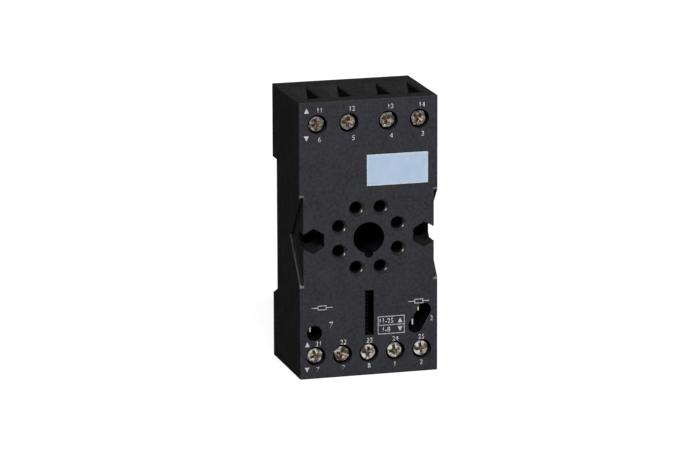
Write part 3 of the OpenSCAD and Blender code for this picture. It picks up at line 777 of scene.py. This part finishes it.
# Print starts just in front of the face and sinks into it. Each number has its middle in X
# and Z, and its height where that isn't DIGIT_H. Each triangle has its middle and 1 or -1
# for up or down.
PRINT_Y = FRONT_Y - 0.008
PRINT_T = 0.02
DIGIT_H = 1.3
DIGIT_WIDTH = 0.92
LINE_W = 0.17
NUMBERS = [
    ("11", -13.35, 35.2), ("12", -4.4, 35.2), ("13", 6.1, 35.2), ("14", 14.75, 35.2),
    ("6", -13.4, 27.35), ("5", -4.15, 27.35), ("4", 6.25, 27.35), ("3", 14.85, 27.35),
    ("21", -14.0, -28.0), ("22", -7.05, -28.0), ("23", 0.15, -28.0), ("24", 7.3, -28.0),
    ("25", 14.5, -28.0),
    ("7", -14.1, -35.0), ("7", -7.1, -35.0), ("8", 0.0, -35.0), ("1", 7.15, -35.0),
    ("2", 14.5, -35.0),
    ("7", -10.4, -23.0, 1.65), ("2", 17.35, -23.1),
    ("11-25", 4.85, -23.0), ("1-8", 4.85, -25.4),
]
TRIANGLES = [
    (-16.9, 35.2, 1), (-17.0, 27.8, -1), (-17.0, -28.0, 1), (-17.1, -34.9, -1),
    (8.6, -23.0, 1), (8.6, -25.4, -1),
]
TRIANGLE_HALF_W = 0.52 * DIGIT_H
LEGEND = (2.45, 9.85, -26.6, -21.7)
COIL_SIGNS = [(-12.9, -18.2), (13.8, -18.2)]
COIL_HALF_W, COIL_HALF_H, COIL_REACH = 1.2, 0.62, 2.9


def prism(points, faces, corners):
    """Adds a thin flat piece of print with the given corners, in X and Z."""
    first, count = len(points), len(corners)
    for y in (PRINT_Y, PRINT_Y + PRINT_T):
        points += [(x, y, z) for x, z in corners]
    faces += [tuple(first + i for i in f) for f in tube_faces(2, count)]


def bar(points, faces, x0, x1, z0, z1):
    prism(points, faces, [(x0, z0), (x1, z0), (x1, z1), (x0, z1)])


def frame_lines(points, faces, x0, x1, z0, z1):
    """The four lines of a rectangle, meeting at their corners."""
    w = LINE_W
    bar(points, faces, x0, x1, z0, z0 + w)
    bar(points, faces, x0, x1, z1 - w, z1)
    bar(points, faces, x0, x0 + w, z0 + w, z1 - w)
    bar(points, faces, x1 - w, x1, z0 + w, z1 - w)


def number_mesh(text):
    """A number in the outline font, as a flat mesh in X and Y that stands on Y = 0."""
    data = bpy.data.curves.new("digits", "FONT")
    data.body = text
    data.resolution_u = 6
    data.offset = 0.012
    data.space_character = 1.05
    shape = scratch_object("digits", data)
    mesh = final_mesh(shape)
    bpy.data.objects.remove(shape)
    return mesh


FONT_H = max(v.co.y for v in number_mesh("1").vertices)


def add_number(made, text, x, z, height=DIGIT_H):
    """Adds a number, centred on x and z, as closed thin solids."""
    mesh = number_mesh(text)
    scale = height / FONT_H
    xs = [v.co.x for v in mesh.vertices]
    middle_x = (min(xs) + max(xs)) / 2
    part = bmesh.new()
    part.from_mesh(mesh)
    bmesh.ops.dissolve_limit(part, angle_limit=0.01, verts=part.verts, edges=part.edges)
    for v in part.verts:
        across = (v.co.x - middle_x) * scale * DIGIT_WIDTH
        v.co = Vector((x + across, PRINT_Y, z + (v.co.y - FONT_H / 2) * scale)) * MM
    grown = bmesh.ops.extrude_face_region(part, geom=part.faces[:])["geom"]
    back = [g for g in grown if isinstance(g, bmesh.types.BMVert)]
    bmesh.ops.translate(part, vec=(0, PRINT_T * MM, 0), verts=back)
    flat = bpy.data.meshes.new("number")
    part.to_mesh(flat)
    part.free()
    made.from_mesh(flat)


def make_print():
    points, faces = [], []
    for x, z, way in TRIANGLES:
        h, w = way * DIGIT_H / 2, TRIANGLE_HALF_W
        prism(points, faces, [(x - w, z - h), (x + w, z - h), (x, z + h)])
    x0, x1, z0, z1 = LEGEND
    frame_lines(points, faces, x0, x1, z0, z1)
    middle_z = (z0 + z1) / 2
    bar(points, faces, x0 + LINE_W, x1 - LINE_W, middle_z - LINE_W / 2, middle_z + LINE_W / 2)
    for x, z in COIL_SIGNS:
        w, h = COIL_HALF_W, COIL_HALF_H
        frame_lines(points, faces, x - w, x + w, z - h, z + h)
        for x0, x1 in ((x - COIL_REACH, x - w), (x + w, x + COIL_REACH)):
            bar(points, faces, x0, x1, z - LINE_W / 2, z + LINE_W / 2)
    made = bmesh.new()
    made.from_mesh(mesh_from_mm("signs", points, faces))
    for number in NUMBERS:
        add_number(made, *number)
    bmesh.ops.recalc_face_normals(made, faces=made.faces)
    mesh = bpy.data.meshes.new("print_marks")
    made.to_mesh(mesh)
    made.free()
    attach(add_piece("print_marks", mesh, [INK]), "socket")


make_print()

# ---- Camera ----


def direction(azimuth, elevation):
    """A unit vector away from the part: turned from its front to its right, and raised."""
    return Vector((
        math.sin(azimuth) * math.cos(elevation),
        -math.cos(azimuth) * math.cos(elevation),
        math.sin(elevation),
    ))


# Fitted to the photograph: angles in degrees, distances in millimetres. The camera looks at
# the frame's origin, shifted by AIM_RIGHT and AIM_UP in the picture.
AZIMUTH = math.radians(-15.738)
ELEVATION = math.radians(13.218)
ROLL = math.radians(-0.163)
DISTANCE = 1251.8
AIM_RIGHT, AIM_UP = 4.98, -3.39
FOCAL_OF_WIDTH = 4733 / 700
SENSOR = 36


def make_camera():
    back = direction(AZIMUTH, ELEVATION)
    level = Vector((0, 0, 1)).cross(back).normalized()
    upright = back.cross(level)
    right = math.cos(ROLL) * level + math.sin(ROLL) * upright
    up = -math.sin(ROLL) * level + math.cos(ROLL) * upright
    place = back * DISTANCE - right * AIM_RIGHT - up * AIM_UP
    data = bpy.data.cameras.new("camera")
    data.sensor_width = SENSOR
    data.lens = SENSOR * FOCAL_OF_WIDTH
    data.clip_start = 0.05
    data.clip_end = 10
    camera = bpy.data.objects.new("camera", data)
    turn = Matrix((right, up, back)).transposed().to_4x4()
    camera.matrix_world = Matrix.Translation(place * MM) @ turn
    bpy.context.scene.collection.objects.link(camera)
    bpy.context.scene.camera = camera


make_camera()

# ---- Light, floor and backdrop ----

AMBIENT = 0.09
FLOOR_GAP = 0.03
FLOOR_HALF = 3000
FLOOR_GREY = 0.23
FLOOR_FIBRE = 0.01
FLOOR_WHITE = 0.86


def area_light(name, azimuth, elevation, distance, size, level, mirrored=True, lights=True):
    """A square lamp aimed at the part, seen in mirror rays and lighting it unless told not to.

    Angles are in degrees and lengths in millimetres. At level 1, a surface that faces the
    lamp renders in its colour as written.
    """
    away = direction(math.radians(azimuth), math.radians(elevation))
    data = bpy.data.lights.new(name, "AREA")
    data.shape = "SQUARE"
    data.size = size * MM
    data.energy = level * (math.pi * distance * MM) ** 2
    lamp = bpy.data.objects.new(name, data)
    lamp.location = away * distance * MM
    lamp.rotation_euler = away.to_track_quat("Z", "Y").to_euler()
    lamp.visible_glossy = mirrored
    lamp.visible_diffuse = lights
    bpy.context.scene.collection.objects.link(lamp)


def background_rays(tree):
    """1 for the rays that show the background: to the camera, in a mirror or through glass."""
    rays = node(tree, "ShaderNodeLightPath").outputs
    total = math_node(tree, "ADD", rays["Is Camera Ray"], rays["Is Glossy Ray"], clamp=True)
    return math_node(tree, "ADD", total, rays["Is Transmission Ray"], clamp=True)


def make_world():
    world = bpy.data.worlds.new("studio")
    bpy.context.scene.world = world
    world.use_nodes = True
    tree = world.node_tree
    background = tree.nodes["Background"]
    background.inputs["Color"].default_value = (1, 1, 1, 1)
    strength = mix_values(tree, background_rays(tree), AMBIENT, 1.0)
    link(tree, strength, background.inputs["Strength"])


def make_floor():
    half, level = FLOOR_HALF, FOOT_Z - FLOOR_GAP
    corners = [(x * half, y * half, level) for x, y in ((-1, -1), (1, -1), (1, 1), (-1, 1))]
    material, tree, shader = new_material("floor_paper")
    point, _ = position_mm(tree)
    fibre = noise(tree, point, scale=0.8)
    low, high = (FLOOR_GREY - FLOOR_FIBRE,) * 3, (FLOOR_GREY + FLOOR_FIBRE,) * 3
    link(tree, mix_colours(tree, fibre, low, high), shader.inputs["Base Color"])
    shader.inputs["Roughness"].default_value = 0.9
    shader.inputs["Specular IOR Level"].default_value = 0.0
    shader.inputs["Emission Color"].default_value = (1, 1, 1, 1)
    shown = times(tree, background_rays(tree), FLOOR_WHITE)
    link(tree, shown, shader.inputs["Emission Strength"])
    add_piece("floor", mesh_from_mm("floor", corners, [(0, 1, 2, 3)]), [material])


make_world()
make_floor()
area_light("key", azimuth=-3, elevation=45, distance=1060, size=420, level=1.25, mirrored=False)
area_light("back", azimuth=142, elevation=12, distance=900, size=500, level=1.0)
area_light("glint", azimuth=-45, elevation=17, distance=800, size=70, level=1.8, lights=False)

bpy.context.scene.view_settings.view_transform = "Standard"
